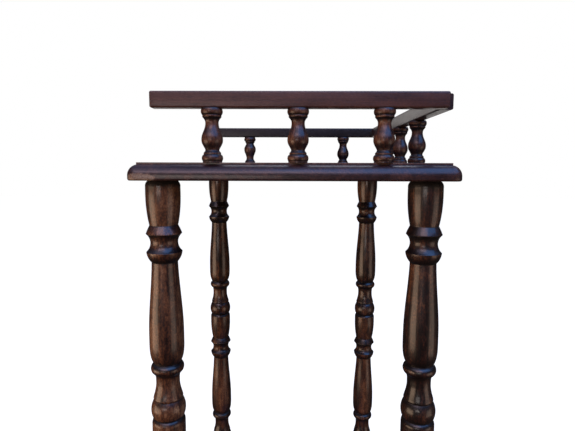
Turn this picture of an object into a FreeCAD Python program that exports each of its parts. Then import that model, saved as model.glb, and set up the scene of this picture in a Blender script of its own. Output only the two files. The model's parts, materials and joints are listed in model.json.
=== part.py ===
"""Galleried side table with turned legs, in millimetres.

The origin is on the floor, at the centre of the footprint.  +Z is up, X runs across the
narrow way and Y along the long way.  The gallery stands on the front end (-Y), the back
end (+Y) and the right side (+X).  The left side (-X) is open.

Two moulded boards, the top and the lower shelf, are held apart by four legs.  Each leg is
two equal turned sections with a double-ended screw between them, and stands on a short
turned foot.  The gallery rails are carried by turned balusters that have a tenon at each
end, so a baluster can be fitted either way up.
"""
import FreeCAD, Part
import math
import os
from FreeCAD import Vector

# ---- overall sizes ----
top_width = 330.0            # along X
top_length = 404.0           # along Y
top_thickness = 18.0
shelf_thickness = 18.0
leg_section_length = 257.0
foot_height = 72.0
leg_inset = 29.0             # from a board's edge to a leg's axis

# ---- moulded edge of the boards, measured in from the edge and down from the top ----
edge_fillet_height = 2.4     # upright step at the top of the moulding
edge_quirk_width = 0.7       # flat ledge at the foot of the step
edge_ovolo_width = 8.0
edge_ovolo_height = 10.6
edge_bottom_ease = 2.0
inner_corner_radius = 1.2    # corner of the flat inside the moulding

# ---- turned leg section, measured down from its top face ----
section_end_radius = 14.6
shoulder_radius = 17.7
shoulder_height = 7.0
shoulder_roundness = 1.1     # how far the shoulder stands off its straight slope
barrel_radius = 17.8
barrel_widest_at = 14.5
barrel_length = 46.7
barrel_foot_radius = 14.6
barrel_foot_lean = 0.22      # outwards for each unit of height, as in all the leans below
ring_radius = 18.5
upper_ring_height = 8.7
upper_ring_roundness = 0.15
ring_cove_height = 19.2
ring_cove_radius = 14.1
lower_ring_height = 11.0
lower_ring_roundness = 1.0
neck_radius = 13.5
neck_lean = -0.03

# ---- the rest of the section, measured up from its bottom face ----
vase_radius = 18.2
vase_foot_radius = 14.0
vase_foot_lean = 0.75
vase_widest_above_foot = 31.5
vase_foot_at = 61.5
collar_radius = 17.5
collar_widest_at = 55.9
collar_foot_radius = 14.1
collar_foot_at = 50.0
collar_foot_lean = 0.7
throat_radius = 12.5
throat_at = 39.5
flare_radius = 15.8
flare_at = 22.6
flare_lean = -0.25
torus_seat_radius = 15.1
torus_seat_at = 20.8
torus_radius = 18.3
torus_widest_at = 11.6
torus_foot_radius = 16.8
torus_foot_at = 1.4
torus_foot_roundness = 0.4

# ---- turned foot, measured down from its top face ----
foot_end_radius = 15.2
foot_bead_radius = 17.6
foot_bead_height = 12.0
foot_bead_foot_radius = 13.4
foot_throat_radius = 11.4
foot_throat_drop = 7.0
foot_throat_hollow = 0.8
foot_throat_lean = -0.35
foot_pear_radius = 16.4
foot_pear_drop = 20.0
foot_pad_radius = 9.6
foot_pad_lean = 0.1
foot_pad_ease = 1.2
foot_pad_roundness = 0.35

# ---- gallery rails ----
rail_width = 14.0
rail_height = 16.0
rail_edge_radius = 1.8
end_rail_open_setback = 24.1     # free ends of the front and back rails, in from the left edge
end_rail_corner_setback = 14.5   # their other ends, in from the right edge

# ---- balusters, measured up from the tabletop ----
baluster_height = 52.8
baluster_stand_in = 5.2      # from the inner edge of the moulding to a baluster's axis
front_row_pitch = 85.0
back_row_pitch = 86.0
side_row_pitch = 83.0
front_row_offset = -1.0      # of the front row, off the middle of its rail
back_row_offset = 1.6        # of the back row
baluster_foot_radius = 9.6
baluster_foot_height = 1.4
base_torus_radius = 10.5
base_torus_height = 6.2
base_torus_widest_rise = 2.6
base_torus_top_radius = 9.2
base_step_radius = 8.6
base_step_height = 1.9
base_step_lean = -0.8
base_waist_radius = 6.9
base_waist_rise = 3.0
bulb_foot_lean = 0.35
bulb_radius = 10.6
bulb_widest_rise = 9.8       # above the waist

# ---- the top of a baluster, measured down from the rail ----
cap_end_radius = 9.8
cap_radius = 10.7
cap_foot_radius = 9.2
cap_height = 6.8
bead_height = 2.6
bead_roundness = 0.5
bead_foot_radius = 8.5
bead_foot_lean = 0.9
baluster_neck_radius = 6.5
baluster_neck_drop = 14.2

# ---- tenons and their holes ----
tenon_radius = 3.0
tenon_length = 9.0
tenon_clearance = 0.1        # on the radius
tenon_end_gap = 0.5

# ---- double-ended screws and corner dowels ----
screw_radius = 3.5
screw_point_length = 4.0
screw_point_share = 1 / 3    # radius of the blunt point, as a share of the screw's
screw_clearance = 0.1        # on the radius, in the wood that the thread bites
shelf_hole_clearance = 0.6   # on the radius, where a screw passes through the shelf
screw_into_top = 12.0
screw_into_wood = 25.0
screw_end_gap = 1.0
dowel_radius = 1.5
dowel_into_rail = 10.0
dowel_clearance = 0.1
dowel_end_gap = 0.5

# ---- heights and places that follow from the sizes above ----
shelf_bottom = foot_height
shelf_top = shelf_bottom + shelf_thickness
leg_joint = shelf_top + leg_section_length
top_bottom = leg_joint + leg_section_length
top_surface = top_bottom + top_thickness
rail_bottom = top_surface + baluster_height
rail_middle_height = rail_bottom + rail_height / 2

leg_x = top_width / 2 - leg_inset
leg_y = top_length / 2 - leg_inset
leg_places = {
    "front_left": (-leg_x, -leg_y),
    "front_right": (leg_x, -leg_y),
    "back_left": (-leg_x, leg_y),
    "back_right": (leg_x, leg_y),
}

moulding_width = edge_quirk_width + edge_ovolo_width
board_corner_radius = moulding_width + inner_corner_radius

# The balusters stand just inside the moulding, and the rails are centred on them.
baluster_inset = moulding_width + baluster_stand_in

end_rail_left = -top_width / 2 + end_rail_open_setback
end_rail_right = top_width / 2 - end_rail_corner_setback
end_rail_middle = (end_rail_left + end_rail_right) / 2
end_rail_y = top_length / 2 - baluster_inset
side_rail_x = top_width / 2 - baluster_inset
side_rail_half_length = end_rail_y - rail_width / 2
corner_dowel_x = (side_rail_x - rail_width / 2 + end_rail_right) / 2

steps = (-1, 0, 1)
front_row_middle = end_rail_middle + front_row_offset
back_row_middle = end_rail_middle + back_row_offset
front_places = [(front_row_middle + step * front_row_pitch, -end_rail_y) for step in steps]
back_places = [(back_row_middle + step * back_row_pitch, end_rail_y) for step in steps]
side_places = [(side_rail_x, step * side_row_pitch) for step in steps]

# Two places nearer than this are the same place.
same_place = 0.001


# ---- drawing tools ----
def at(radius, height):
    """A point of a half outline, in the XZ plane."""
    return Vector(radius, 0, height)


def line(start, end):
    return Part.makeLine(start, end)


def arc(start, middle, end):
    return Part.Arc(start, middle, end).toShape()


def bulge(start, end, rise):
    """An arc from start to end, whose middle stands off the chord by rise.

    A positive rise is on the right-hand side when walking from start to end.
    """
    chord = end.sub(start)
    off = Vector(chord.z, 0, -chord.x)
    off.normalize()
    middle = start.add(end).multiply(0.5).add(off.multiply(rise))
    return arc(start, middle, end)


def swell(start, end, lean_out=0.0, lean_in=0.0):
    """A smooth curve between two turned radii.

    It runs upright at each end, or leans by the given radius for each unit of height.
    """
    curve = Part.BSplineCurve()
    leaving = Vector(lean_out, 0, 1)
    arriving = Vector(lean_in, 0, 1)
    curve.interpolate([start, end], InitialTangent=leaving, FinalTangent=arriving)
    return curve.toShape()


def turned(edges):
    """Turn a half outline, drawn from the bottom up, about the Z axis."""
    bottom = edges[0].firstVertex(True).Point
    top = edges[-1].lastVertex(True).Point
    closing = [line(top, at(0, top.z)), line(at(0, top.z), at(0, bottom.z)), line(at(0, bottom.z), bottom)]
    wire = Part.Wire(edges + closing)
    return Part.Face(wire).revolve(Vector(0, 0, 0), Vector(0, 0, 1), 360)


def peg(radius, bottom, top):
    return Part.makeCylinder(radius, top - bottom, Vector(0, 0, bottom))


def placed(shape, x, y, z=0.0):
    copy = shape.copy()
    copy.translate(Vector(x, y, z))
    return copy


# ---- boards ----
def rounded_outline(half_x, half_y, radius, z):
    """Closed rectangle with round corners, at height z."""
    inner_x = half_x - radius
    inner_y = half_y - radius
    corners = (
        (inner_x, inner_y, 0),
        (-inner_x, inner_y, 90),
        (-inner_x, -inner_y, 180),
        (inner_x, -inner_y, 270),
    )
    edges = []
    previous = None
    for x, y, start in corners:
        circle = Part.Circle(Vector(x, y, z), Vector(0, 0, 1), radius)
        corner = Part.Arc(circle, math.radians(start), math.radians(start + 90)).toShape()
        if previous is not None:
            edges.append(line(previous.lastVertex(True).Point, corner.firstVertex(True).Point))
        edges.append(corner)
        previous = corner
    edges.append(line(previous.lastVertex(True).Point, edges[0].firstVertex(True).Point))
    return Part.Wire(edges)


def edge_cutter(thickness):
    """Profile of the waste that the moulding cutter takes off, at the board's right edge."""
    spare = 3.0
    flat_edge = -moulding_width
    ovolo_top = thickness - edge_fillet_height
    ovolo_foot = ovolo_top - edge_ovolo_height
    # The ovolo is a circle that runs upright into the band below it.
    radius = (edge_ovolo_width ** 2 + edge_ovolo_height ** 2) / (2 * edge_ovolo_width)
    sweep = math.asin(edge_ovolo_height / radius) / 2
    half_way = at(radius * (math.cos(sweep) - 1), ovolo_foot + radius * math.sin(sweep))
    ledge = at(-edge_ovolo_width, ovolo_top)
    foot = at(0, ovolo_foot)
    edges = [
        arc(foot, half_way, ledge),
        line(ledge, at(flat_edge, ovolo_top)),
        line(at(flat_edge, ovolo_top), at(flat_edge, thickness + spare)),
        line(at(flat_edge, thickness + spare), at(spare, thickness + spare)),
        line(at(spare, thickness + spare), at(spare, ovolo_foot)),
        line(at(spare, ovolo_foot), foot),
    ]
    return Part.Wire(edges)


def moulded_board(thickness):
    """Board with its underside at z = 0 and a moulded top edge all round."""
    half_x = top_width / 2
    half_y = top_length / 2
    outline = rounded_outline(half_x, half_y, board_corner_radius, 0)
    board = Part.Face(outline).extrude(Vector(0, 0, thickness))
    bottom_edges = [edge for edge in board.Edges if abs(edge.BoundBox.ZMax) < same_place]
    board = board.makeFillet(edge_bottom_ease, bottom_edges)
    profile = edge_cutter(thickness)
    profile.translate(Vector(half_x, 0, 0))
    # The cutter starts half way along the right edge and goes round to where it began.
    start = Vector(half_x, 0, 0)
    path_edges = []
    for edge in outline.Edges:
        middle = edge.CenterOfMass
        if abs(middle.x - half_x) < same_place:
            path_edges.append(line(start, Vector(half_x, half_y - board_corner_radius, 0)))
            path_edges.append(line(Vector(half_x, board_corner_radius - half_y, 0), start))
        else:
            path_edges.append(edge)
    path = Part.Wire(Part.__sortEdges__(path_edges))
    cutter = path.makePipeShell([profile], True, True)
    return board.cut(cutter).removeSplitter()


def table_top():
    board = moulded_board(top_thickness)
    board.translate(Vector(0, 0, top_bottom))
    for x, y in leg_places.values():
        hole = peg(screw_radius + screw_clearance, top_bottom, top_bottom + screw_into_top + screw_end_gap)
        board = board.cut(placed(hole, x, y))
    for x, y in front_places + back_places + side_places:
        depth = tenon_length + tenon_end_gap
        hole = peg(tenon_radius + tenon_clearance, top_surface - depth, top_surface)
        board = board.cut(placed(hole, x, y))
    return board


def lower_shelf():
    board = moulded_board(shelf_thickness)
    board.translate(Vector(0, 0, shelf_bottom))
    for x, y in leg_places.values():
        hole = peg(screw_radius + shelf_hole_clearance, shelf_bottom, shelf_top)
        board = board.cut(placed(hole, x, y))
    return board


# ---- legs and feet ----
def leg_section_outline():
    """Outline of one section from its bottom face at z = 0 to its top face."""
    top = leg_section_length
    barrel_foot = top - barrel_length
    upper_ring = barrel_foot - upper_ring_height
    lower_ring = upper_ring - ring_cove_height
    neck = lower_ring - lower_ring_height
    vase_widest = vase_foot_at + vase_widest_above_foot
    cove_depth = ring_radius - ring_cove_radius
    shoulder = top - shoulder_height
    barrel_widest = top - barrel_widest_at
    return [
        bulge(at(section_end_radius, 0), at(torus_foot_radius, torus_foot_at), torus_foot_roundness),
        arc(
            at(torus_foot_radius, torus_foot_at),
            at(torus_radius, torus_widest_at),
            at(torus_seat_radius, torus_seat_at),
        ),
        line(at(torus_seat_radius, torus_seat_at), at(flare_radius, flare_at)),
        swell(at(flare_radius, flare_at), at(throat_radius, throat_at), flare_lean),
        swell(at(throat_radius, throat_at), at(collar_foot_radius, collar_foot_at), 0, collar_foot_lean),
        arc(
            at(collar_foot_radius, collar_foot_at),
            at(collar_radius, collar_widest_at),
            at(vase_foot_radius, vase_foot_at),
        ),
        swell(at(vase_foot_radius, vase_foot_at), at(vase_radius, vase_widest), vase_foot_lean),
        swell(at(vase_radius, vase_widest), at(neck_radius, neck), 0, neck_lean),
        bulge(at(neck_radius, neck), at(ring_radius, lower_ring), lower_ring_roundness),
        bulge(at(ring_radius, lower_ring), at(ring_radius, upper_ring), -cove_depth),
        bulge(at(ring_radius, upper_ring), at(barrel_foot_radius, barrel_foot), upper_ring_roundness),
        swell(at(barrel_foot_radius, barrel_foot), at(barrel_radius, barrel_widest), barrel_foot_lean),
        swell(at(barrel_radius, barrel_widest), at(shoulder_radius, shoulder)),
        bulge(at(shoulder_radius, shoulder), at(section_end_radius, top), shoulder_roundness),
    ]


def leg_section(bottom_hole, top_hole):
    section = turned(leg_section_outline())
    radius = screw_radius + screw_clearance
    section = section.cut(peg(radius, 0, bottom_hole))
    return section.cut(peg(radius, leg_section_length - top_hole, leg_section_length))


def foot():
    """Bead, throat and pear, down to a flat pad on the floor."""
    bead_foot = foot_height - foot_bead_height
    throat = bead_foot - foot_throat_drop
    pear = throat - foot_pear_drop
    pad_edge = at(foot_pad_radius, foot_pad_ease)
    outline = [
        bulge(at(foot_pad_radius - foot_pad_ease, 0), pad_edge, foot_pad_roundness),
        swell(pad_edge, at(foot_pear_radius, pear), foot_pad_lean),
        swell(at(foot_pear_radius, pear), at(foot_throat_radius, throat), 0, foot_throat_lean),
        bulge(at(foot_throat_radius, throat), at(foot_bead_foot_radius, bead_foot), -foot_throat_hollow),
        arc(
            at(foot_bead_foot_radius, bead_foot),
            at(foot_bead_radius, bead_foot + foot_bead_height / 2),
            at(foot_end_radius, foot_height),
        ),
    ]
    depth = screw_into_wood + screw_end_gap
    return turned(outline).cut(peg(screw_radius + screw_clearance, foot_height - depth, foot_height))


# ---- balusters ----
def baluster_outline():
    """Outline of the part between the tenons, from the tabletop at z = 0 to the rail."""
    torus_top = baluster_foot_height + base_torus_height
    step_top = torus_top + base_step_height
    waist = step_top + base_waist_rise
    bulb = waist + bulb_widest_rise
    cap_foot = baluster_height - cap_height
    bead_foot = cap_foot - bead_height
    neck = baluster_height - baluster_neck_drop
    return [
        line(at(baluster_foot_radius, 0), at(baluster_foot_radius, baluster_foot_height)),
        arc(
            at(baluster_foot_radius, baluster_foot_height),
            at(base_torus_radius, baluster_foot_height + base_torus_widest_rise),
            at(base_torus_top_radius, torus_top),
        ),
        line(at(base_torus_top_radius, torus_top), at(base_step_radius, torus_top)),
        line(at(base_step_radius, torus_top), at(base_step_radius, step_top)),
        swell(at(base_step_radius, step_top), at(base_waist_radius, waist), base_step_lean),
        swell(at(base_waist_radius, waist), at(bulb_radius, bulb), bulb_foot_lean),
        swell(at(bulb_radius, bulb), at(baluster_neck_radius, neck)),
        swell(at(baluster_neck_radius, neck), at(bead_foot_radius, bead_foot), 0, bead_foot_lean),
        bulge(at(bead_foot_radius, bead_foot), at(cap_foot_radius, cap_foot), bead_roundness),
        arc(
            at(cap_foot_radius, cap_foot),
            at(cap_radius, baluster_height - cap_height / 2),
            at(cap_end_radius, baluster_height),
        ),
    ]


def baluster():
    body = turned(baluster_outline())
    body = body.fuse(peg(tenon_radius, -tenon_length, 0))
    body = body.fuse(peg(tenon_radius, baluster_height, baluster_height + tenon_length))
    return body.removeSplitter()


def upside_down(shape):
    """The same baluster, turned end for end."""
    copy = shape.copy()
    copy.rotate(Vector(0, 0, baluster_height / 2), Vector(1, 0, 0), 180)
    return copy


# ---- gallery rails ----
def eased_bar(low, high, square_ends):
    """Bar with its long edges rounded, and its ends too unless they meet another rail."""
    size = high.sub(low)
    bar = Part.makeBox(size.x, size.y, size.z, low)
    edges = bar.Edges
    if square_ends:
        edges = [edge for edge in edges if edge.BoundBox.YLength > size.y / 2]
    return bar.makeFillet(rail_edge_radius, edges)


def rail_holes(places):
    depth = tenon_length + tenon_end_gap
    hole = peg(tenon_radius + tenon_clearance, rail_bottom, rail_bottom + depth)
    return [placed(hole, x, y) for x, y in places]


def corner_hole(side):
    """Hole along Y for the dowel that pins the side rail to an end rail."""
    reach = dowel_into_rail + dowel_end_gap
    start = side * side_rail_half_length - reach
    corner = Vector(corner_dowel_x, start, rail_middle_height)
    return Part.makeCylinder(dowel_radius + dowel_clearance, 2 * reach, corner, Vector(0, 1, 0))


def end_rail(side, places):
    centre = side * end_rail_y
    low = Vector(end_rail_left, centre - rail_width / 2, rail_bottom)
    high = Vector(end_rail_right, centre + rail_width / 2, rail_bottom + rail_height)
    rail = eased_bar(low, high, False)
    return rail.cut(rail_holes(places) + [corner_hole(side)])


def side_rail():
    low = Vector(side_rail_x - rail_width / 2, -side_rail_half_length, rail_bottom)
    high = Vector(side_rail_x + rail_width / 2, side_rail_half_length, rail_bottom + rail_height)
    rail = eased_bar(low, high, True)
    return rail.cut(rail_holes(side_places) + [corner_hole(-1), corner_hole(1)])


# ---- screws and dowels ----
def double_screw(middle, down, up):
    """Screw pointed at both ends, reaching down and up from the height of its middle."""
    shank = peg(screw_radius, middle - down + screw_point_length, middle + up - screw_point_length)
    tip = screw_radius * screw_point_share
    upper_shoulder = Vector(0, 0, middle + up - screw_point_length)
    upper = Part.makeCone(screw_radius, tip, screw_point_length, upper_shoulder)
    lower = Part.makeCone(tip, screw_radius, screw_point_length, Vector(0, 0, middle - down))
    return shank.fuse([upper, lower]).removeSplitter()


def screw_set(middle, down, up):
    screw = double_screw(middle, down, up)
    return Part.makeCompound([placed(screw, x, y) for x, y in leg_places.values()])


def corner_dowels():
    dowels = []
    for side in (-1, 1):
        start_y = side * side_rail_half_length - dowel_into_rail
        start = Vector(corner_dowel_x, start_y, rail_middle_height)
        dowels.append(Part.makeCylinder(dowel_radius, 2 * dowel_into_rail, start, Vector(0, 1, 0)))
    return Part.makeCompound(dowels)


# ---- the whole table ----
def all_pieces():
    pieces = {"table_top": table_top(), "lower_shelf": lower_shelf()}
    screw_hole = screw_into_wood + screw_end_gap
    section = leg_section(screw_hole, screw_hole)
    turned_foot = foot()
    for name, (x, y) in leg_places.items():
        pieces["upper_leg_" + name] = placed(section, x, y, leg_joint)
        pieces["lower_leg_" + name] = placed(section, x, y, shelf_top)
        pieces["foot_" + name] = placed(turned_foot, x, y)
    pieces["gallery_rail_front"] = end_rail(-1, front_places)
    pieces["gallery_rail_back"] = end_rail(1, back_places)
    pieces["gallery_rail_side"] = side_rail()
    upright = baluster()
    inverted = upside_down(upright)
    rows = {
        "front": (front_places, ("left", "middle", "right")),
        "back": (back_places, ("left", "middle", "right")),
        "side": (side_places, ("front", "middle", "back")),
    }
    for row, (places, names) in rows.items():
        for (x, y), name in zip(places, names):
            # The back left baluster is fitted upside down.
            shape = inverted if (row, name) == ("back", "left") else upright
            pieces["baluster_" + row + "_" + name] = placed(shape, x, y, top_surface)
    pieces["leg_top_screws"] = screw_set(top_bottom, screw_into_wood, screw_into_top)
    pieces["leg_joint_screws"] = screw_set(leg_joint, screw_into_wood, screw_into_wood)
    pieces["shelf_screws"] = screw_set(shelf_bottom, screw_into_wood, shelf_thickness + screw_into_wood)
    pieces["gallery_corner_dowels"] = corner_dowels()
    return pieces


os.makedirs("parts", exist_ok=True)
for node, shape in all_pieces().items():
    shape.exportStep(os.path.join("parts", node + ".step"))
    print(node, shape.isValid(), len(shape.Solids), round(shape.Volume))
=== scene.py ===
"""Looks of a galleried side table with turned legs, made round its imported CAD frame.

Every wooden piece is a surface worked out with numpy.  Turned pieces take their outline from
their own CAD node, boards carry a moulded profile round their edge, and rails carry a rounded
section along their length.  Each piece keeps, at every point, its place in the timber it was
cut from, so that one wood material gives every piece its own grain.
"""

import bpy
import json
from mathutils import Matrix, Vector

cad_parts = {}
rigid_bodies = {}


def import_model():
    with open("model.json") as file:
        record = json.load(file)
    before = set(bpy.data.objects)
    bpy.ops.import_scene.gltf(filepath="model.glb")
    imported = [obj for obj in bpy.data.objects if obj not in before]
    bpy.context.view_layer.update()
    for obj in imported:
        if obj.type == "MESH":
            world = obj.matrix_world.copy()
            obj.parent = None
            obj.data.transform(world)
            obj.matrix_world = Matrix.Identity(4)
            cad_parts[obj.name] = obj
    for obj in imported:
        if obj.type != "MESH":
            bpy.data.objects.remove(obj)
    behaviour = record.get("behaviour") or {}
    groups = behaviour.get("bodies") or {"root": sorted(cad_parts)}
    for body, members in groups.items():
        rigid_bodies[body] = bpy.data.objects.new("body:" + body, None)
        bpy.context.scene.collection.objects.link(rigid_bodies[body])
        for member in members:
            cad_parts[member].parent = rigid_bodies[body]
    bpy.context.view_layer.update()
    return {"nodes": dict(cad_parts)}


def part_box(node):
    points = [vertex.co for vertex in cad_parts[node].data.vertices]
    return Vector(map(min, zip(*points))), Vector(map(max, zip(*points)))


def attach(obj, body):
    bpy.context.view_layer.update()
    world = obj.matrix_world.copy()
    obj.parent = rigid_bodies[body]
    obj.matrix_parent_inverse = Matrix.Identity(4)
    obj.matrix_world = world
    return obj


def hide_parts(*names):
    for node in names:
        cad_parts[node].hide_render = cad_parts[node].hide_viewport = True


bl_info = {
    "name": "Galleried side table",
    "version": (1, 0, 0),
    "blender": (4, 5, 0),
    "location": "View3D > Sidebar > Side table",
    "description": "Builds the boards, turned legs and baluster gallery of a small side table",
    "category": "Add Mesh",
}

import json
import math
import bpy
import numpy as np
from bpy.props import FloatProperty, FloatVectorProperty, IntProperty, PointerProperty
from mathutils import Matrix, Vector

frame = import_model()

MM = 0.001
BODY = "root"
LEGS = ("front_left", "front_right", "back_left", "back_right")
BALUSTERS = (
    "front_left", "front_middle", "front_right",
    "back_left", "back_middle", "back_right",
    "side_front", "side_middle", "side_back",
)

# Faces that meet at more than this angle show a sharp edge.
EDGE_ANGLE = math.radians(50)
# The most that an outline turns between two of its points, and the step it is worked out in.
TURN_STEP = math.radians(9)
OUTLINE_STEP = 0.1 * MM
# Steps in each quarter circle of a board's bottom edge and of a rail's section.
QUARTER = np.linspace(0, math.pi / 2, 7)
# Where the stem of a piece lay in the tree, across from the pith.
LEG_PITH = (0.022, 0.018)
BALUSTER_PITH = (0.014, 0.010)
BOARD_PITH = (0.055, 0.085)
RAIL_PITH = (0.03, 0.05)


# Noises of the grain: name, cells per metre across, how many times longer than wide a cell
# is, octaves, how rough the octaves are, and weight in the sum that picks the colour.
GRAIN = (
    ("fibres", 950.0, 38.0, 4.0, 0.62, 0.6),
    ("streaks", 230.0, 26.0, 3.0, 0.55, 0.9),
    ("patches", 42.0, 3.2, 3.0, 0.6, 1.4),
    ("blotches", 120.0, 1.8, 3.0, 0.62, 1.1),
    ("specks", 640.0, 1.5, 2.0, 0.6, 1.1),
)
PORES = (1900.0, 34.0, 2.0, 0.5)
RING_PITCH, RING_WEIGHT = 3.4 * MM, 0.16
# How much a hollow, and the painted shadow under the top board, darkens the colour, and
# where the two middle colours lie between the ends.
DARKENING_WEIGHT = 0.42
DEEP_PLACE, WARM_PLACE = 0.30, 0.62

# Finish of the legs and feet, as stained_wood takes it.
TURNING_FINISH = {
    "contrast": 0.95, "warmth": 0.43, "roughness": 0.37, "coat_roughness": 0.16,
    "wear": 0.5, "glaze": 0.0, "coat": 0.7,
}

# First numbers of the chance draws, so that every piece has its own stretch of timber.
BOARD_SEEDS = (11, 12)
LEG_SEED, FOOT_SEED, RAIL_SEED, BALUSTER_SEED = 100, 140, 160, 180

# The surround's own light by height: place from straight down, 0, to straight up, 1; colour.
SKY_STEPS = (
    (0.40, (0.018, 0.015, 0.014, 1)),
    (0.66, (0.02, 0.018, 0.018, 1)),
    (0.84, (0.08, 0.09, 0.15, 1)),
    (0.92, (0.12, 0.15, 0.28, 1)),
)


# ---------------------------------------------------------------- sizes and colours
class BoardSettings(bpy.types.PropertyGroup):
    """Moulded edge of the two boards."""

    step_height: FloatProperty(
        name="Step height", description="Upright step at the top of the moulding",
        default=2.4 * MM, unit="LENGTH", precision=4)
    quirk_width: FloatProperty(
        name="Quirk width", description="Flat ledge at the foot of the step",
        default=0.7 * MM, unit="LENGTH", precision=4)
    ovolo_width: FloatProperty(
        name="Ovolo width", description="Width of the round of the moulding",
        default=8.0 * MM, unit="LENGTH", precision=4)
    ovolo_height: FloatProperty(
        name="Ovolo height", description="Height of the round of the moulding",
        default=10.6 * MM, unit="LENGTH", precision=4)
    bottom_ease: FloatProperty(
        name="Bottom ease", description="Radius that takes the sharpness off the bottom edge",
        default=2.0 * MM, unit="LENGTH", precision=4)
    corner_radius: FloatProperty(
        name="Corner radius", description="Radius of the board's corners, seen from above",
        default=9.9 * MM, unit="LENGTH", precision=4)


class RailSettings(bpy.types.PropertyGroup):
    """Gallery rails."""

    edge_radius: FloatProperty(
        name="Edge radius", description="Radius of the rails' long edges and free ends",
        default=1.8 * MM, unit="LENGTH", precision=4)


class TurningSettings(bpy.types.PropertyGroup):
    """How finely the turned pieces are drawn, and how worn their sharp edges are."""

    around: IntProperty(
        name="Steps around", description="Faces round the widest turned piece",
        default=88, min=24, max=256)
    arris: FloatProperty(
        name="Arris softness", description="How far lacquer and wear round the sharp turned edges",
        default=0.15 * MM, unit="LENGTH", precision=5)
    end_grain: FloatProperty(
        name="End grain stain", description="How much darker the stain takes on steep turned faces",
        default=1.5, min=0.0, max=3.0)
    # The top shade paints the shadow of the top board, darkest over this length below it.
    painted_shadow_length: FloatProperty(
        name="Top shade", description="Length of the darkest stain under the top board",
        default=7.0 * MM, unit="LENGTH", precision=4)


class FinishSettings(bpy.types.PropertyGroup):
    """Colours of the stained and lacquered wood."""

    dark: FloatVectorProperty(
        name="Darkest stain", description="Stain where it lies thickest",
        subtype="COLOR", size=3, default=(0.0075, 0.0034, 0.0028))
    deep: FloatVectorProperty(
        name="Deep stain", description="Common dark tone of the wood",
        subtype="COLOR", size=3, default=(0.041, 0.0138, 0.0080))
    warm: FloatVectorProperty(
        name="Warm grain", description="Reddish brown of the lighter grain",
        subtype="COLOR", size=3, default=(0.158, 0.059, 0.022))
    tan: FloatVectorProperty(
        name="Light grain", description="Orange tan of the lightest streaks",
        subtype="COLOR", size=3, default=(0.34, 0.165, 0.070))
    maroon: FloatVectorProperty(
        name="Maroon glaze", description="Tint of the glaze over the boards and rails",
        subtype="COLOR", size=3, default=(0.80, 0.86, 1.55))
    bare: FloatVectorProperty(
        name="Rubbed wood", description="Wood that shows where the stain is rubbed through",
        subtype="COLOR", size=3, default=(0.46, 0.34, 0.225))


class StageSettings(bpy.types.PropertyGroup):
    """Camera and light."""

    camera_x: FloatProperty(
        name="Camera X", description="Sideways place of the camera",
        default=-2.5 * MM, unit="LENGTH", precision=4)
    camera_distance: FloatProperty(
        name="Camera distance", description="From the table's front edge to the camera",
        default=0.4198, unit="LENGTH", precision=4)
    camera_below_top: FloatProperty(
        name="Camera below top", description="How far the camera is below the tabletop's surface",
        default=7.2 * MM, unit="LENGTH", precision=4)
    tilt: FloatProperty(
        name="Tilt", description="How far the camera looks down",
        subtype="ANGLE", default=math.radians(6.0))
    turn: FloatProperty(
        name="Turn", description="How far the camera is turned to the left",
        subtype="ANGLE", default=math.radians(0.52))
    roll: FloatProperty(
        name="Roll", description="How far the camera leans",
        subtype="ANGLE", default=math.radians(0.16))
    lens: FloatProperty(
        name="Focal length", description="Focal length on a 36 mm wide sensor, in millimetres",
        default=27.11)
    sky: FloatVectorProperty(
        name="Sky light", description="Colour of the light from above",
        subtype="COLOR", size=3, default=(0.13, 0.36, 0.92))


def settings(part):
    """The scene's settings of one part, by its short name."""
    return getattr(bpy.context.scene, "side_table_" + part)


# ---------------------------------------------------------------- mesh tools
def grid_faces(rows, columns, close_rows, close_columns):
    """Quads of a grid whose vertex (i, j) is number i * columns + j."""
    i, j = np.meshgrid(
        np.arange(rows if close_rows else rows - 1),
        np.arange(columns if close_columns else columns - 1), indexing="ij")
    i, j = i.ravel(), j.ravel()
    next_i, next_j = (i + 1) % rows, (j + 1) % columns
    row, next_row = i * columns, next_i * columns
    return np.stack((row + j, row + next_j, next_row + next_j, next_row + j), axis=1)


def build_piece(name, points, face_groups, values):
    """Mesh object from vertices, groups of equal-sized faces and named values at the vertices."""
    mesh = bpy.data.meshes.new(name)
    loops = np.concatenate([group.ravel() for group in face_groups]).astype(np.int32)
    totals = np.concatenate([np.full(len(group), group.shape[1]) for group in face_groups])
    starts = np.concatenate(([0], np.cumsum(totals)[:-1]))
    mesh.vertices.add(len(points))
    mesh.vertices.foreach_set("co", np.asarray(points, np.float32).ravel())
    mesh.loops.add(len(loops))
    mesh.loops.foreach_set("vertex_index", loops)
    mesh.polygons.add(len(totals))
    mesh.polygons.foreach_set("loop_start", starts.astype(np.int32))
    mesh.polygons.foreach_set("loop_total", totals.astype(np.int32))
    mesh.polygons.foreach_set("use_smooth", np.ones(len(totals), bool))
    mesh.update(calc_edges=True)
    mesh.validate()
    mesh.set_sharp_from_angle(angle=EDGE_ANGLE)
    for key, value in values.items():
        value = np.asarray(value, np.float32)
        kind, field = ("FLOAT_VECTOR", "vector") if value.ndim == 2 else ("FLOAT", "value")
        mesh.attributes.new(key, kind, "POINT").data.foreach_set(field, value.ravel())
    piece = bpy.data.objects.new(name, mesh)
    bpy.context.scene.collection.objects.link(piece)
    return piece


def finish_piece(piece, node, material):
    """Give the piece its material, hang it on the body and hide the CAD node it stands for."""
    piece.data.materials.append(material)
    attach(piece, BODY)
    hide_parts(node)


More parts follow.
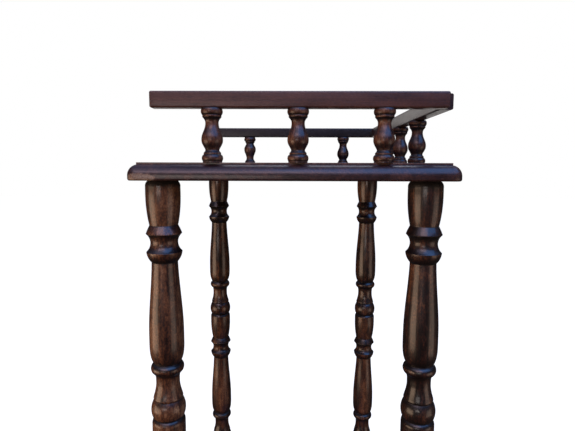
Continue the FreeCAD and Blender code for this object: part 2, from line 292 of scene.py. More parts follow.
def softened(line, reach):
    """The line at equal steps, each point the bell-weighted mean of its neighbours.

    The bell falls to six tenths at reach and is cut off at three times reach.
    """
    spacing = OUTLINE_STEP
    lengths = np.concatenate(([0], np.cumsum(np.hypot(*np.diff(line, axis=0).T))))
    places = np.linspace(0, lengths[-1], max(8, round(lengths[-1] / spacing)))
    dense = np.stack([np.interp(places, lengths, line[:, k]) for k in (0, 1)], axis=1)
    half = max(1, math.ceil(3 * reach / spacing))
    bell = np.exp(-0.5 * (np.arange(-half, half + 1) * spacing / reach) ** 2)
    bell /= bell.sum()
    ends = np.pad(dense, ((half, half), (0, 0)), mode="reflect", reflect_type="odd")
    return np.stack([np.convolve(ends[:, k], bell, mode="valid") for k in (0, 1)], axis=1)


def bend_of(line):
    """Signed bend of a line at each point, in radians per metre; positive bulges outwards."""
    shortest = 1e-7
    step = np.gradient(line, axis=0)
    heading = np.unwrap(np.arctan2(step[:, 1], step[:, 0]))
    return np.gradient(heading) / np.maximum(np.hypot(step[:, 0], step[:, 1]), shortest)


def bulge(bend, least, span):
    """How far a bend is past least, as a share of span, from 0 to 1; all per metre."""
    return np.clip((bend - least) / span, 0, 1)


def blurred(values, count):
    """Mean of each value and count neighbours either way, under a cosine window."""
    window = np.hanning(2 * count + 3)[1:-1]
    return np.convolve(np.pad(values, count, mode="edge"), window / window.sum(), mode="valid")


def well_spaced(line, longest):
    """Indices of points no further apart than longest, nor than TURN_STEP of turning."""
    step = np.hypot(*np.diff(line, axis=0).T)
    turning = np.abs(bend_of(line))[1:] * step
    travel = np.concatenate(([0], np.cumsum(step / longest + turning / TURN_STEP)))
    wanted = np.linspace(0, travel[-1], math.ceil(travel[-1]) + 1)
    return np.unique(np.round(np.interp(wanted, travel, np.arange(len(line)))).astype(int))


def stock_places(points, along, pith, seed):
    """Where each point lies in its own timber, with the grain along the third coordinate.

    The points are turned so that the piece's long axis is third, turned again by a chance
    angle about the grain if the piece is upright and turned, moved out from the pith by the
    given distances, give or take a little, and moved off to a chance stretch of timber.
    """
    upright = along == 2
    chance = np.random.default_rng(seed)
    others = [axis for axis in range(3) if axis != along]
    local = points - points.mean(axis=0)
    across = local[:, others]
    angle = chance.uniform(0, 2 * math.pi) if upright else 0.0
    turn = np.array([[math.cos(angle), math.sin(angle)], [-math.sin(angle), math.cos(angle)]])
    across = across @ turn + np.asarray(pith) * chance.uniform(0.85, 1.15, 2)
    grain = local[:, along] + chance.uniform(-3, 3)
    return np.column_stack((across, grain))


# ---------------------------------------------------------------- turned pieces
def outline_of(node):
    """Half outline of a turned node, as radius and height, from its lowest face to its top.

    At each height where the node has vertices the outline takes their largest and their
    smallest radius, nearest first, and leaves out its bores and tenons.
    """
    bore = 5 * MM
    same_height = 0.02 * MM
    ledge = 0.2 * MM
    mesh = frame["nodes"][node].data
    points = np.empty(len(mesh.vertices) * 3)
    mesh.vertices.foreach_get("co", points)
    points = points.reshape(-1, 3)
    low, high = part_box(node)
    centre = ((low[0] + high[0]) / 2, (low[1] + high[1]) / 2)
    radius = np.hypot(points[:, 0] - centre[0], points[:, 1] - centre[1])
    outside = radius > bore
    radius, height = radius[outside], points[outside, 2]
    level = np.round(height / same_height).astype(int)
    levels, owner = np.unique(level, return_inverse=True)
    largest = np.zeros(len(levels))
    smallest = np.full(len(levels), 1.0)
    np.maximum.at(largest, owner, radius)
    np.minimum.at(smallest, owner, radius)
    outline = [(largest[0], levels[0] * same_height)]
    for wide, narrow, z in zip(largest[1:], smallest[1:], levels[1:] * same_height):
        last = outline[-1][0]
        near, far = (wide, narrow) if abs(last - wide) < abs(last - narrow) else (narrow, wide)
        outline.append((near, z))
        if abs(wide - narrow) > ledge:
            outline.append((far, z))
    return np.array(outline), centre


def turned_piece(name, node, around, seed, longest, tone, pith, painted_shadow_length=0.0):
    """Surface of revolution: point (i, j) is at radius r(j) and angle 2 pi i / around.

    Sharp edges of the outline are rounded a little.  "rub" is how far the outline bulges at
    a point, where the finish wears thin.  The darkening is how far the outline is hollow,
    and rises to one near the piece's two ends.  A painted shadow of the top board is one more
    darkening, a bell curve of the distance from the top.  "tone" falls with the square of the
    slope, because end grain drinks more stain.
    """
    joint_shade = 1.1 * MM
    painted_shadow_depth = 1.5
    worn_bend, hollow_bend = (260, 900), (90, 500)
    rub_blur, hollow_blur, slope_blur = 4, 9, 5
    size = settings("turning")
    outline, centre = outline_of(node)
    line = softened(outline, size.arris)
    bend = bend_of(line)
    height = line[:, 1]
    ends = np.minimum(height - height[0], height[-1] - height)
    rub = blurred(bulge(bend, *worn_bend), rub_blur)
    darkening = blurred(bulge(-bend, *hollow_bend), hollow_blur)
    darkening = np.maximum(darkening, np.exp(-ends / joint_shade))
    step = np.gradient(line, axis=0)
    slope = step[:, 0] / np.hypot(step[:, 0], step[:, 1])
    tone = tone - size.end_grain * blurred(slope ** 2, slope_blur)
    # Painted shadow of the top board: the top of an upper leg is darkened as if in its shade.
    if painted_shadow_length:
        bell = np.exp(-((height[-1] - height) / painted_shadow_length) ** 2)
        darkening = np.maximum(darkening, painted_shadow_depth * bell)
    chosen = well_spaced(line, longest)
    line, rub, darkening, tone = line[chosen], rub[chosen], darkening[chosen], tone[chosen]
    angle = np.arange(around) * 2 * math.pi / around
    radius = line[None, :, 0]
    x = centre[0] + radius * np.cos(angle)[:, None]
    y = centre[1] + radius * np.sin(angle)[:, None]
    z = np.broadcast_to(line[None, :, 1], x.shape)
    points = np.stack((x, y, z), axis=-1).reshape(-1, 3)
    columns = len(line)
    sides = grid_faces(around, columns, True, False)[:, ::-1]
    bottom = (np.arange(around)[::-1] * columns)[None, :]
    top = (np.arange(around) * columns + columns - 1)[None, :]
    values = {
        "stock": stock_places(points, 2, pith, seed),
        "rub": np.tile(rub, around),
        "darkening": np.tile(darkening, around),
        "tone": np.tile(tone, around),
    }
    return build_piece(name, points, [sides, bottom, top], values)


# ---------------------------------------------------------------- boards
def moulded_profile(thickness):
    """Edge profile of a board as (inset, height), from the underside up to the flat top.

    A small round takes the underside into an upright band.  The ovolo is an arc that leaves
    the band upright and climbs inwards to the quirk, and the step rises from the quirk.  The
    profile runs a short lead onto the flats above and below.
    """
    lead = 4 * MM
    size = settings("board")
    ease = size.bottom_ease
    bottom = np.column_stack((ease * (1 - np.sin(QUARTER)), ease * (1 - np.cos(QUARTER))))
    ovolo_top = thickness - size.step_height
    radius = (size.ovolo_width ** 2 + size.ovolo_height ** 2) / (2 * size.ovolo_width)
    sweep = np.linspace(0, math.asin(size.ovolo_height / radius), 25)
    ovolo_foot = ovolo_top - size.ovolo_height
    ovolo = np.column_stack((radius * (1 - np.cos(sweep)), ovolo_foot + radius * np.sin(sweep)))
    flat = size.ovolo_width + size.quirk_width
    step = np.array([(flat, ovolo_top), (flat, thickness), (flat + lead, thickness)])
    under = np.array([(ease + lead, 0)])
    return np.concatenate((under, bottom, ovolo, step))


def rounded_path(half_x, half_y, radius, spacing):
    """Points round a rectangle with quarter-circle corners, each with two outward directions.

    The first direction shrinks the outline until its corners are sharp.  The second carries
    it on from there: it is the corner's diagonal on an arc and square to the side elsewhere.
    """
    places, outward, beyond = [], [], []
    quarter = np.linspace(0, math.pi / 2, 13)
    corners = ((1, 1), (-1, 1), (-1, -1), (1, -1))
    for number, (side_x, side_y) in enumerate(corners):
        angle = quarter + number * math.pi / 2
        normal = np.column_stack((np.cos(angle), np.sin(angle)))
        centre = np.array((side_x * (half_x - radius), side_y * (half_y - radius)))
        arc = centre + radius * normal
        next_x, next_y = corners[(number + 1) % 4]
        next_centre = np.array((next_x * (half_x - radius), next_y * (half_y - radius)))
        target = next_centre + radius * normal[-1]
        count = round(np.linalg.norm(target - arc[-1]) / spacing)
        share = np.linspace(0, 1, count + 1)[1:-1, None]
        places += [arc, arc[-1] * (1 - share) + target * share]
        straight = np.repeat(normal[-1:], count - 1, axis=0)
        outward += [normal, straight]
        beyond += [np.tile((side_x, side_y), (len(normal), 1)), straight]
    return np.concatenate(places), np.concatenate(outward), np.concatenate(beyond)


def board_piece(name, node, seed, tone, worn_corners):
    """A moulded board: point (i, j) is profile point j carried to path point i.

    The profile is set in along the path's inward direction.  Where it is deeper than the
    corner radius, less a hair, the corners go on inwards along their diagonals unshrunk, so
    that no two insets cross.  "rub" also rises round each worn corner, as a bell curve of the
    distance from it.  "tone" is a little higher on the face of the step, a painted highlight.
    """
    softness, longest = 0.22 * MM, 2.5 * MM
    path_spacing = 6 * MM
    sharp_radius = 0.3 * MM
    # How much paler the painted highlight makes the upright face of the step.
    step_painted_highlight = 0.30
    worn_bend, hollow_bend = (300, 1500), (150, 900)
    rub_blur, hollow_blur = 5, 8
    low, high = (np.array(corner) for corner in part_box(node))
    half = (high - low) / 2
    centre = (high + low) / 2
    thickness = high[2] - low[2]
    size = settings("board")
    line = softened(moulded_profile(thickness) * (-1, 1), softness)
    bend = bend_of(line)
    chosen = well_spaced(line, longest)
    rub = blurred(bulge(bend, *worn_bend), rub_blur)[chosen]
    darkening = blurred(bulge(-bend, *hollow_bend), hollow_blur)[chosen]
    inset, height = -line[chosen, 0], line[chosen, 1]
    step_middle = thickness - size.step_height / 2
    # Painted highlight: a bell curve round the middle of the step marks its upright face paler.
    step_highlight_mask = np.exp(-((height - step_middle) / size.step_height) ** 2 * 3)
    step_highlight_mask = step_highlight_mask * (inset < size.corner_radius)
    inset = np.maximum(inset, 0)
    shrunk = np.minimum(inset, size.corner_radius - sharp_radius)
    path, outward, beyond = rounded_path(half[0], half[1], size.corner_radius, path_spacing)
    across = path[:, None, :] - shrunk[None, :, None] * outward[:, None, :]
    across -= (inset - shrunk)[None, :, None] * beyond[:, None, :]
    across += centre[:2]
    up = low[2] + np.clip(height, 0, thickness)[None, :, None]
    up = np.broadcast_to(up, across.shape[:2] + (1,))
    points = np.concatenate((across, up), axis=2).reshape(-1, 3)
    rows, columns = len(path), len(chosen)
    sides = grid_faces(rows, columns, True, False)[:, ::-1]
    bottom = (np.arange(rows)[::-1] * columns)[None, :]
    top = (np.arange(rows) * columns + columns - 1)[None, :]
    rub = np.tile(rub, rows)
    for x, y, z, reach, strength in worn_corners:
        away = (points - (x, y, z)) / reach
        rub = np.maximum(rub, strength * np.exp(-np.sum(away ** 2, axis=1)))
    values = {
        "stock": stock_places(points, 1, BOARD_PITH, seed),
        "rub": rub,
        "darkening": np.tile(darkening, rows),
        # The step's painted highlight raises the tone.
        "tone": tone + step_painted_highlight * np.tile(step_highlight_mask, rows),
    }
    return build_piece(name, points, [sides, bottom, top], values)


# ---------------------------------------------------------------- rails
def rounded_section(half_wide, half_high, radius):
    """Closed outline of a bar with quarter-circle edges, and each point's outward direction."""
    points, outward = [], []
    for number, (side_x, side_y) in enumerate(((1, 1), (-1, 1), (-1, -1), (1, -1))):
        angle = QUARTER + number * math.pi / 2
        normal = np.column_stack((np.cos(angle), np.sin(angle)))
        centre = np.array((side_x * (half_wide - radius), side_y * (half_high - radius)))
        points.append(centre + radius * normal)
        outward.append(normal)
    return np.concatenate(points), np.concatenate(outward)


def rail_piece(name, node, along, round_ends, seed, tone):
    """A bar: point (i, j) is section point j carried to station i along the rail.

    At a free end the section draws in on a quarter circle of the edge radius, so the end's
    edges are as round as the long ones.  "rub" is a bell curve of the distance from the
    section's corners, and falls off exponentially from a free end.
    """
    spacing = 5 * MM
    edge_reach, edge_rub = 2.2 * MM, 0.8
    end_reach, end_rub = 2 * MM, 0.5 if round_ends else 0.0
    low, high = (np.array(corner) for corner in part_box(node))
    centre, half = (low + high) / 2, (high - low) / 2
    radius = settings("rail").edge_radius
    wide_axis = 1 - along
    section, outward = rounded_section(half[wide_axis], half[2], radius)
    count = round(half[along] * 2 / spacing)
    stations = np.linspace(-half[along] + radius, half[along] - radius, count)
    drawn = np.zeros(len(stations))
    if round_ends:
        quarter = QUARTER[1:]
        end = half[along] - radius + radius * np.sin(quarter)
        inward = radius * (1 - np.cos(quarter))
        stations = np.concatenate((-end[::-1], stations, end))
        drawn = np.concatenate((inward[::-1], drawn, inward))
    else:
        stations[0], stations[-1] = -half[along], half[along]
    # The last quarter-circle point would fold the section's own corners, so they are held.
    drawn = np.minimum(drawn, 0.97 * radius)
    across = section[None] - drawn[:, None, None] * outward[None]
    grid = np.empty((len(stations), len(section), 3))
    grid[..., along] = stations[:, None]
    grid[..., wide_axis] = across[..., 0]
    grid[..., 2] = across[..., 1]
    points = grid.reshape(-1, 3) + centre
    columns = len(section)
    sides = grid_faces(len(stations), columns, False, True)
    first = np.arange(columns)[None, :]
    last = first[:, ::-1] + (len(stations) - 1) * columns
    groups = [sides[:, ::-1], first, last]
    if along == 0:
        groups = [group[:, ::-1] for group in groups]
    from_edge = np.abs(section) - (half[wide_axis], half[2])
    corner = np.exp(-np.sum(from_edge ** 2, axis=1) / edge_reach ** 2)
    end_gap = half[along] - np.abs(stations)
    rub = np.maximum(corner[None] * edge_rub, np.exp(-end_gap / end_reach)[:, None] * end_rub)
    values = {
        "stock": stock_places(points, along, RAIL_PITH, seed),
        "rub": rub.ravel(),
        "darkening": np.zeros(len(points)),
        "tone": np.full(len(points), tone),
    }
    return build_piece(name, points, groups, values)


# ---------------------------------------------------------------- materials
class Nodes:
    """Short names for adding shader nodes to one material."""

    def __init__(self, name):
        self.material = bpy.data.materials.new(name)
        self.material.use_nodes = True
        self.tree = self.material.node_tree
        self.shader = self.tree.nodes["Principled BSDF"]

    def add(self, kind, inputs=None, **options):
        node = self.tree.nodes.new("ShaderNode" + kind)
        for key, value in options.items():
            setattr(node, key, value)
        for key, value in (inputs or {}).items():
            if isinstance(value, bpy.types.NodeSocket):
                self.tree.links.new(value, node.inputs[key])
            else:
                node.inputs[key].default_value = value
        return node

    def maths(self, operation, first, second, clamp=False):
        node = self.add("Math", {0: first, 1: second}, operation=operation, use_clamp=clamp)
        return node.outputs[0]

    def total(self, first, *parts):
        """The first value plus each part's value times its weight."""
        for value, weight in parts:
            first = self.maths("ADD", first, self.maths("MULTIPLY", value, weight))
        return first

    def spread(self, value, low, high, to_low=0.0, to_high=1.0):
        """The value carried from one range to another, and held at the ends."""
        inputs = {"Value": value, "From Min": low, "From Max": high,
                  "To Min": to_low, "To Max": to_high}
        return self.add("MapRange", inputs, clamp=True).outputs["Result"]

    def mixed(self, share, first, second, blend="MIX"):
        """Two colours mixed by a share of the second."""
        node = self.add("Mix", {0: share}, data_type="RGBA", blend_type=blend)
        for socket, value in ((6, first), (7, second)):
            if isinstance(value, bpy.types.NodeSocket):
                self.tree.links.new(value, node.inputs[socket])
            else:
                node.inputs[socket].default_value = value
        return node.outputs[2]

    def attribute(self, name, output="Fac"):
        return self.add("Attribute", attribute_name=name).outputs[output]

    def noise(self, vector, scale, stretch, detail, roughness):
        """Noise on the timber's coordinates, drawn out along the grain by stretch."""
        inputs = {"Vector": vector, "Scale": (scale, scale, scale / stretch)}
        moved = self.add("Mapping", inputs).outputs["Vector"]
        inputs = {"Vector": moved, "Scale": 1.0, "Detail": detail, "Roughness": roughness}
        return self.add("TexNoise", inputs).outputs["Fac"]

    def link(self, source, node, key):
        self.tree.links.new(source, node.inputs[key])


def opaque(colour):
    """A colour with an alpha of one."""
    return (colour[0], colour[1], colour[2], 1.0)


def stained_wood(name, contrast, warmth, roughness, coat_roughness, wear, glaze, coat):
    """Stained wood under lacquer.

    Growth rings are waves of the distance from the pith, bent by slow noise.  Fibres and
    pores are fine noise drawn out along the grain.  Broad noise makes the stain patchy.
    Their weighted sum, with warmth and the piece's tone, picks a colour between the darkest
    stain and the lightest streak; the tone also carries painted light and shade.  Hollows are
    darkened, and so is the painted shadow under the top board, and the maroon glaze is
    multiplied over everything.  Bulging edges are rubbed through where streaks and blotches
    are high.
    """
    pore_darkness, bare_share = 0.55, 0.8
    relief_height = 0.25 * MM
    colours = settings("finish")
    n = Nodes(name)
    stock = n.attribute("stock", "Vector")
    rub = n.attribute("rub")
    darkening = n.attribute("darkening")
    tone = n.attribute("tone")
    # Rings change slowly along the grain, and the wave's own scale is 20 waves per 2 pi.
    flattened = n.add("Mapping", {"Vector": stock, "Scale": (1.0, 1.0, 0.07)}).outputs["Vector"]
    rings = n.add(
        "TexWave",
        {"Vector": flattened, "Scale": 2 * math.pi / (20 * RING_PITCH), "Distortion": 5.0,
         "Detail": 2.0, "Detail Scale": 0.35, "Detail Roughness": 0.55},
        wave_type="RINGS", rings_direction="Z", wave_profile="SAW").outputs["Fac"]
    noises = {kind: n.noise(stock, *shape) for kind, *shape, _ in GRAIN}
    fibres, blotches = noises["fibres"], noises["blotches"]
    pores = n.spread(n.noise(stock, *PORES), 0.60, 0.70)

    grain = [(rings, RING_WEIGHT)] + [(noises[kind], weight) for kind, *_, weight in GRAIN]
    grain = [(n.maths("SUBTRACT", value, 0.5), weight * contrast) for value, weight in grain]
    # The darkening takes colour out of hollows and paints the shadow under the top board.
    place = n.total(n.maths("ADD", tone, warmth), *grain, (darkening, -DARKENING_WEIGHT))
    ramp = n.add("ValToRGB", {"Fac": place})
    stops = ramp.color_ramp.elements
    for stop, end, shade in ((stops[0], 0.0, colours.dark), (stops[1], 1.0, colours.tan)):
        stop.position = end
        stop.color = opaque(shade)
    for middle, shade in ((DEEP_PLACE, colours.deep), (WARM_PLACE, colours.warm)):
        stops.new(middle).color = opaque(shade)
    pitted = n.maths("MULTIPLY", pores, pore_darkness)
    stain = n.mixed(pitted, ramp.outputs["Color"], opaque(colours.dark))
    stain = n.mixed(glaze, stain, opaque(colours.maroon), "MULTIPLY")

    chips = n.total(n.maths("MULTIPLY", noises["streaks"], 0.5), (blotches, 0.5))
    worn = n.spread(n.total(n.maths("SUBTRACT", chips, 1.0), (rub, wear)), 0.0, 0.22)
    bare = n.mixed(n.spread(fibres, 0.35, 0.65), opaque(colours.warm), opaque(colours.bare))
    n.link(n.mixed(n.maths("MULTIPLY", worn, bare_share), stain, bare), n.shader, "Base Color")

    rough = n.spread(noises["patches"], 0.3, 0.7, roughness - 0.05, roughness + 0.09)
    rough = n.total(rough, (worn, 0.25))
    rough = n.maths("ADD", rough, n.maths("MULTIPLY", darkening, 0.3), clamp=True)
    n.link(rough, n.shader, "Roughness")
    n.shader.inputs["Coat Weight"].default_value = coat
    n.shader.inputs["Coat Roughness"].default_value = coat_roughness
    n.shader.inputs["Coat IOR"].default_value = 1.5

    relief = n.total(n.maths("MULTIPLY", fibres, 0.5), (pores, -0.6), (blotches, 0.8), (worn, -0.7))
    inputs = {"Height": relief, "Strength": 0.35, "Distance": relief_height}
    n.link(n.add("Bump", inputs).outputs["Normal"], n.shader, "Normal")
    inputs = {"Height": blotches, "Strength": 0.25, "Distance": relief_height}
    n.link(n.add("Bump", inputs).outputs["Normal"], n.shader, "Coat Normal")
    return n.material


def bare_dowel_wood():
    """Plain beech: short pale flecks on a straw-coloured ground."""
    n = Nodes("beech_dowel")
    places = n.add("TexCoord").outputs["Object"]
    flecks = n.add("Mapping", {"Vector": places, "Scale": (900, 60, 900)}).outputs["Vector"]
    flecks = n.add("TexNoise", {"Vector": flecks, "Scale": 1.0, "Detail": 3.0}).outputs["Fac"]
    straw, fleck = (0.50, 0.34, 0.19, 1), (0.68, 0.50, 0.31, 1)
    colour = n.mixed(n.spread(flecks, 0.4, 0.65), straw, fleck)
    n.link(colour, n.shader, "Base Color")
    n.link(n.spread(flecks, 0.3, 0.7, 0.55, 0.75), n.shader, "Roughness")
    return n.material


def plated_steel():
    """Bright zinc plate with fine turning marks round the shank."""
    n = Nodes("zinc_plated_steel")
    places = n.add("TexCoord").outputs["Object"]
    marks = n.add("Mapping", {"Vector": places, "Scale": (40, 40, 1800)}).outputs["Vector"]
    marks = n.add("TexNoise", {"Vector": marks, "Scale": 1.0, "Detail": 2.0}).outputs["Fac"]
    dull, bright = (0.50, 0.50, 0.49, 1), (0.66, 0.66, 0.63, 1)
    colour = n.mixed(marks, dull, bright)
    n.link(colour, n.shader, "Base Color")
    n.link(n.spread(marks, 0.3, 0.7, 0.25, 0.42), n.shader, "Roughness")
    n.shader.inputs["Metallic"].default_value = 1.0
    return n.material


# ---------------------------------------------------------------- operators
class SideTableOperator:
    bl_options = {"REGISTER", "UNDO"}


class SIDETABLE_OT_boards(SideTableOperator, bpy.types.Operator):
    """Make the top and the lower shelf, two boards with a moulded edge all round"""

    bl_idname = "side_table.boards"
    bl_label = "Boards"

    def execute(self, context):
        wood = stained_wood(
            "stained_board", contrast=0.42, warmth=0.28, roughness=0.36, coat_roughness=0.2,
            wear=1.0, glaze=0.8, coat=0.5)
        low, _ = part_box("table_top")
        reach, strength = np.array((14, 9, 4.5)) * MM, 1.6
        worn_corner = (low[0] + 15 * MM, low[1] + 1 * MM, low[2] + 3 * MM, reach, strength)
        boards = (
            ("top_board", "table_top", 0.0, [worn_corner]),
            ("shelf_board", "lower_shelf", -0.02, []),
        )
        for seed, (name, node, tone, worn) in zip(BOARD_SEEDS, boards):
            finish_piece(board_piece(name, node, seed, tone, worn), node, wood)
        return {"FINISHED"}


class SIDETABLE_OT_legs(SideTableOperator, bpy.types.Operator):
    """Turn the eight leg sections, two to a leg"""

    bl_idname = "side_table.legs"
    bl_label = "Leg sections"

    def execute(self, context):
        wood = stained_wood("stained_turning", **TURNING_FINISH)
        size = settings("turning")
        longest = 2.0 * MM
        # Each leg's tone: the light front left and dark front right legs are partly the wood and
        # partly painted light and shade, as the light falls from the left.
        leg_tones_and_shade = (0.16, -0.19, -0.04, -0.03)
        for number, (leg, tone) in enumerate(zip(LEGS, leg_tones_and_shade)):
            # Upper sections get a painted shadow of the top board at their top, lower ones none.
            for lower, (tier, shade) in enumerate((("upper", size.painted_shadow_length), ("lower", 0.0))):
                node = tier + "_leg_" + leg
                seed = LEG_SEED + 2 * number + lower
                piece = turned_piece(
                    "turned_" + node, node, size.around, seed, longest, tone, LEG_PITH, shade)
                finish_piece(piece, node, wood)
        return {"FINISHED"}


class SIDETABLE_OT_feet(SideTableOperator, bpy.types.Operator):
    """Turn the four feet"""

    bl_idname = "side_table.feet"
    bl_label = "Feet"

    def execute(self, context):
        wood = stained_wood("stained_foot", **TURNING_FINISH)
        around, longest, tone = settings("turning").around, 1.6 * MM, 0.0
        for number, leg in enumerate(LEGS):
            node = "foot_" + leg
            piece = turned_piece(
                "turned_" + node, node, around, FOOT_SEED + number, longest, tone, LEG_PITH)
            finish_piece(piece, node, wood)
        return {"FINISHED"}


class SIDETABLE_OT_rails(SideTableOperator, bpy.types.Operator):
    """Make the three gallery rails"""

    bl_idname = "side_table.rails"
    bl_label = "Gallery rails"

    def execute(self, context):
        wood = stained_wood(
            "stained_rail", contrast=0.28, warmth=0.31, roughness=0.42, coat_roughness=0.24,
            wear=0.6, glaze=1.0, coat=0.35)
        # Place, the axis it runs along, whether its ends are free, and tone.  The back rail's low
        # tone is painted shade.
        rails = (("front", 0, True, 0.20), ("back", 0, True, -0.42), ("side", 1, False, 0.0))
        for number, (place, along, round_ends, tone) in enumerate(rails):
            node = "gallery_rail_" + place
            piece = rail_piece("rail_" + place, node, along, round_ends, RAIL_SEED + number, tone)
            finish_piece(piece, node, wood)
        return {"FINISHED"}


class SIDETABLE_OT_balusters(SideTableOperator, bpy.types.Operator):
    """Turn the nine gallery balusters"""

    bl_idname = "side_table.balusters"
    bl_label = "Balusters"

    def execute(self, context):
        wood = stained_wood(
            "stained_baluster", contrast=0.62, warmth=0.58, roughness=0.38, coat_roughness=0.19,
            wear=0.5, glaze=0.25, coat=0.45)
        around, longest = 64, 1.2 * MM
        for number, place in enumerate(BALUSTERS):
            node = "baluster_" + place
            # Painted shade: the back and side balusters get a darker tone than the front ones.
            tone = 0.0 if place.startswith("front") else -0.15
            seed = BALUSTER_SEED + number
            piece = turned_piece(
                "turned_" + node, node, around, seed, longest, tone, BALUSTER_PITH)
            finish_piece(piece, node, wood)
        return {"FINISHED"}


class SIDETABLE_OT_fixings(SideTableOperator, bpy.types.Operator):
    """Give the hidden screws and dowels their finishes"""

    bl_idname = "side_table.fixings"
    bl_label = "Screws and dowels"

    def execute(self, context):
        steel = plated_steel()
        for node in ("leg_top_screws", "leg_joint_screws", "shelf_screws"):
            self.cover(frame["nodes"][node], steel)
        self.cover(frame["nodes"]["gallery_corner_dowels"], bare_dowel_wood())
        return {"FINISHED"}

    @staticmethod
    def cover(piece, material):
        """Put one material in all of the piece's slots."""
        for slot in piece.material_slots:
            slot.material = material


class SIDETABLE_OT_stage(SideTableOperator, bpy.types.Operator):
    """Make the pale floor, the soft studio light and the camera"""

    bl_idname = "side_table.stage"
    bl_label = "Stage"

    def execute(self, context):
        self.floor()
        self.world(context.scene)
        self.lights()
        self.camera(context.scene)
        context.scene.view_settings.view_transform = "Standard"
        return {"FINISHED"}

    @staticmethod
    def floor():
        """A flat pale square, lightly self-lit so that it stays near white."""
        half = 9.0
        corners = [(-half, -half, 0), (half, -half, 0), (half, half, 0), (-half, half, 0)]
        mesh = bpy.data.meshes.new("floor")
        mesh.from_pydata(corners, [], [(0, 1, 2, 3)])
        floor = bpy.data.objects.new("floor", mesh)
        bpy.context.scene.collection.objects.link(floor)
        n = Nodes("pale_floor")
        n.shader.inputs["Base Color"].default_value = (0.55, 0.53, 0.50, 1)
        n.shader.inputs["Roughness"].default_value = 0.9
        n.shader.inputs["Emission Color"].default_value = (1, 1, 1, 1)
        n.shader.inputs["Emission Strength"].default_value = 0.93
        mesh.materials.append(n.material)
        floor.visible_glossy = False
        floor.visible_diffuse = False
        floor.visible_shadow = False

    @staticmethod
    def world(scene):
        """A white surround, whose own light is a soft sky above and a dim wall around."""
        world = bpy.data.worlds.new("studio")
        world.use_nodes = True
        scene.world = world
        tree = world.node_tree
        tree.nodes.clear()
        links = tree.links
        where = tree.nodes.new("ShaderNodeTexCoord")
        height = tree.nodes.new("ShaderNodeSeparateXYZ")
        ramp = tree.nodes.new("ShaderNodeValToRGB")
        elements = ramp.color_ramp.elements
        for element, (place, colour) in zip(elements, (SKY_STEPS[0], SKY_STEPS[-1])):
            element.position = place
            element.color = colour
        for place, colour in SKY_STEPS[1:-1]:
            elements.new(place).color = colour
        # Height runs from -1 to 1, and the ramp from 0 to 1.
        shift = tree.nodes.new("ShaderNodeMath")
        shift.operation = "MULTIPLY_ADD"
        shift.inputs[1].default_value = 0.5
        shift.inputs[2].default_value = 0.5
        light = tree.nodes.new("ShaderNodeBackground")
        light.inputs["Strength"].default_value = 1.6
        seen = tree.nodes.new("ShaderNodeBackground")
        seen.inputs["Color"].default_value = (1, 1, 1, 1)
        seen.inputs["Strength"].default_value = 1.0
        path = tree.nodes.new("ShaderNodeLightPath")
        mix = tree.nodes.new("ShaderNodeMixShader")
        out = tree.nodes.new("ShaderNodeOutputWorld")
        links.new(where.outputs["Generated"], height.inputs[0])
        links.new(height.outputs["Z"], shift.inputs[0])
        links.new(shift.outputs[0], ramp.inputs["Fac"])
        links.new(ramp.outputs["Color"], light.inputs["Color"])
        links.new(path.outputs["Is Camera Ray"], mix.inputs[0])
        links.new(light.outputs[0], mix.inputs[1])
        links.new(seen.outputs[0], mix.inputs[2])
        links.new(mix.outputs[0], out.inputs["Surface"])

    @staticmethod
    def lights():
        """Soft boxes, all turned to the middle of the table.

        A cool one is high on the right.  Warm upright ones stand left and right, and a long
        low one is far in front.  Softer ones are high at the front, the left and the back.
        Two behind light the rails alone, whose undersides would be black without them.
        """
        rails = bpy.data.collections.new("gallery_rails")
        for place in ("front", "back", "side"):
            rails.objects.link(bpy.data.objects["rail_" + place])
        target = Vector((0, 0, 0.45))
        sky = tuple(settings("stage").sky)
        # Name, place, width, height, watts, colour, and what alone it lights.
        boxes = (
            ("sky_right", (0.85, -1.0, 2.0), 2.1, 1.5, 23.0, sky, None),
            ("sky_left", (-0.75, -1.2, 2.0), 2.0, 1.5, 5.5, (0.86, 0.70, 0.86), None),
            ("window_left", (-2.1, -1.05, -0.03), 1.8, 1.05, 17.0, (1.0, 0.68, 0.47), None),
            ("window_right", (1.75, -1.15, -0.03), 1.3, 1.05, 5.0, (1.0, 0.72, 0.56), None),
            ("wall_left", (-0.62, -2.3, 0.64), 1.0, 0.3, 3.6, (1.0, 0.88, 0.82), None),
            ("front_fill", (-0.5, -2.1, 2.1), 1.9, 0.8, 13.0, (0.94, 0.66, 0.76), None),
            ("sky_back", (0.2, 1.5, 2.6), 1.6, 1.0, 14.0, (0.85, 0.92, 1.0), None),
            ("back_left", (-1.05, 2.8, 0.95), 0.9, 1.0, 5.5, (1.0, 0.96, 0.93), rails),
            ("back_low", (0.0, 2.8, 0.22), 3.0, 0.5, 5.0, (1.0, 0.96, 0.93), rails),
        )
        for name, place, wide, high, power, colour, lit in boxes:
            lamp = bpy.data.lights.new(name, "AREA")
            lamp.shape = "RECTANGLE"
            lamp.size = wide
            lamp.size_y = high
            lamp.energy = power
            lamp.color = colour
            light = bpy.data.objects.new(name, lamp)
            light.location = place
            light.rotation_euler = (target - Vector(place)).to_track_quat("-Z", "Y").to_euler()
            light.visible_camera = False
            if lit:
                light.light_linking.receiver_collection = lit
            bpy.context.scene.collection.objects.link(light)

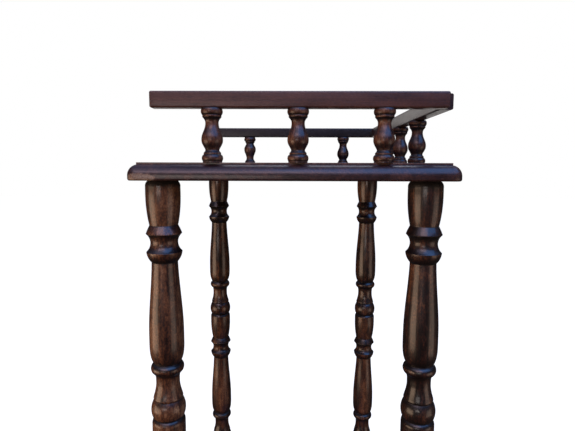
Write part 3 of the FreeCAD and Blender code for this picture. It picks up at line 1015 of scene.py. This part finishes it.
    @staticmethod
    def camera(scene):
        """A camera in front of the table, at the height of the top, looking a little down."""
        size = settings("stage")
        low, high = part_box("table_top")
        lens = bpy.data.cameras.new("camera")
        lens.sensor_width = 36.0
        lens.lens = size.lens
        lens.clip_start = 0.01
        lens.clip_end = 60.0
        camera = bpy.data.objects.new("camera", lens)
        height = high[2] - size.camera_below_top
        place = Vector((size.camera_x, low[1] - size.camera_distance, height))
        turn = Matrix.Rotation(size.turn, 4, "Z")
        tilt = Matrix.Rotation(math.pi / 2 - size.tilt, 4, "X")
        roll = Matrix.Rotation(size.roll, 4, "Z")
        camera.matrix_world = Matrix.Translation(place) @ turn @ tilt @ roll
        scene.collection.objects.link(camera)
        scene.camera = camera


# ---------------------------------------------------------------- panel and registration
MAKERS = (
    SIDETABLE_OT_boards, SIDETABLE_OT_legs, SIDETABLE_OT_feet, SIDETABLE_OT_rails,
    SIDETABLE_OT_balusters, SIDETABLE_OT_fixings, SIDETABLE_OT_stage,
)
SETTINGS = {
    "board": BoardSettings, "rail": RailSettings, "turning": TurningSettings,
    "finish": FinishSettings, "stage": StageSettings,
}


class SIDETABLE_PT_panel(bpy.types.Panel):
    """Lists the settings and the pieces"""

    bl_label = "Side table"
    bl_idname = "SIDETABLE_PT_panel"
    bl_space_type = "VIEW_3D"
    bl_region_type = "UI"
    bl_category = "Side table"

    def draw(self, context):
        for part, group in SETTINGS.items():
            box = self.layout.box()
            box.label(text=part.capitalize())
            for name in group.__annotations__:
                box.prop(settings(part), name)
        for maker in MAKERS:
            self.layout.operator(maker.bl_idname)


CLASSES = (*SETTINGS.values(), *MAKERS, SIDETABLE_PT_panel)


def register():
    for item in CLASSES:
        bpy.utils.register_class(item)
    for part, group in SETTINGS.items():
        setattr(bpy.types.Scene, "side_table_" + part, PointerProperty(type=group))


def unregister():
    for part in SETTINGS:
        delattr(bpy.types.Scene, "side_table_" + part)
    for item in reversed(CLASSES):
        bpy.utils.unregister_class(item)


def main():
    register()
    for maker in MAKERS:
        group, name = maker.bl_idname.split(".")
        getattr(getattr(bpy.ops, group), name)()


if __name__ == "__main__":
    main()
